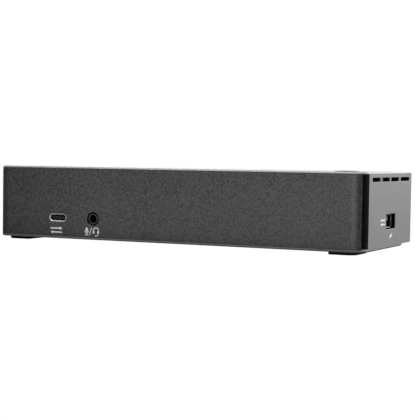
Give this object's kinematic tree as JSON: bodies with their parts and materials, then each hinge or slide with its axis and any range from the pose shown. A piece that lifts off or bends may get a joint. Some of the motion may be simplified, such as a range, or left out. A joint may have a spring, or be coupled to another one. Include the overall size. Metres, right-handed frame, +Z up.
{
  "type": "laptop docking station",
  "caption": "Low flat desktop dock with a charcoal front, satin grey cover, round power button, end vents, front and side sockets, rear connectors and rubber feet.",
  "frame": {"origin": "bottom centre of the object, on the surface that the feet stand on", "axes": "+Z up, +X along the length to the end with the side socket, -Y out of the front face"},
  "size_m": [0.186, 0.071, 0.0358],
  "materials": {
    "cover_grey": "satin grey, fine grain",
    "tray_grey": "satin grey, fine grain",
    "panel_charcoal": "fine spark-eroded grain",
    "frame_black": "matt",
    "rubber_black": "matt",
    "screw_steel": "zinc plated",
    "board_green": "solder resist",
    "shell_steel": "nickel plated",
    "insert_black": "moulded",
    "insert_white": "moulded",
    "contact_brass": "gold flash",
    "ring_steel": "nickel plated",
    "chip_black": "moulded epoxy",
    "plunger_plastic": "moulded",
    "cable_film": "polyester film",
    "pad_rubber": "silicone",
    "sink_aluminium": "anodised"
  },
  "bodies": {
    "case": {"top_cover": "cover_grey", "base_tray": "tray_grey", "front_panel": "panel_charcoal", "rear_panel": "panel_charcoal", "inner_frame": "frame_black", "corner_trim_left": "frame_black", "corner_trim_right": "frame_black", "foot_front_left": "rubber_black", "foot_front_right": "rubber_black", "foot_rear_left": "rubber_black", "foot_rear_right": "rubber_black", "case_screws": "screw_steel", "board_screws": "screw_steel", "button_board_screws": "screw_steel", "lock_slot_plate": "screw_steel", "main_board": "board_green", "button_board": "board_green", "front_usb_c_shell": "shell_steel", "side_usb_a_shell": "shell_steel", "host_usb_c_shell": "shell_steel", "hdmi_shell_1": "shell_steel", "hdmi_shell_2": "shell_steel", "displayport_shell_1": "shell_steel", "displayport_shell_2": "shell_steel", "network_shell": "shell_steel", "rear_usb_a_shell": "shell_steel", "front_usb_c_tongue": "insert_black", "host_usb_c_tongue": "insert_black", "hdmi_tongue_1": "insert_black", "hdmi_tongue_2": "insert_black", "displayport_tongue_1": "insert_black", "displayport_tongue_2": "insert_black", "network_housing": "insert_black", "rear_usb_a_tongues": "insert_black", "audio_jack_body": "insert_black", "power_inlet_body": "insert_black", "ribbon_connectors": "insert_black", "side_usb_a_tongue": "insert_white", "front_usb_c_contacts": "contact_brass", "side_usb_a_contacts": "contact_brass", "network_contacts": "contact_brass", "audio_jack_contacts": "contact_brass", "audio_jack_ring": "ring_steel", "power_inlet_pin": "ring_steel", "video_chip": "chip_black", "hub_chip": "chip_black", "power_chip": "chip_black", "network_transformer": "chip_black", "power_inductors": "chip_black", "tact_switch_body": "chip_black", "ribbon_cable": "cable_film", "thermal_pad": "pad_rubber", "heat_sink": "sink_aluminium", "capacitors": "sink_aluminium", "crystals": "sink_aluminium"},
    "power_button": {"power_button": "cover_grey"},
    "switch_plunger": {"tact_switch_plunger": "plunger_plastic"}
  },
  "joints": [
    {"name": "button_press", "type": "slide", "parent": "case", "child": "power_button", "axis": [0, 0, -1], "range_m": [0, 0.0003], "stiffness_N_per_m": 600, "springref_m": -0.0004},
    {"name": "plunger_press", "type": "slide", "parent": "case", "child": "switch_plunger", "axis": [0, 0, -1], "range_m": [0, 0.0003]}
  ],
  "couplings": [
    {"joint": "plunger_press", "follows": "button_press", "ratio": 1}
  ]
}
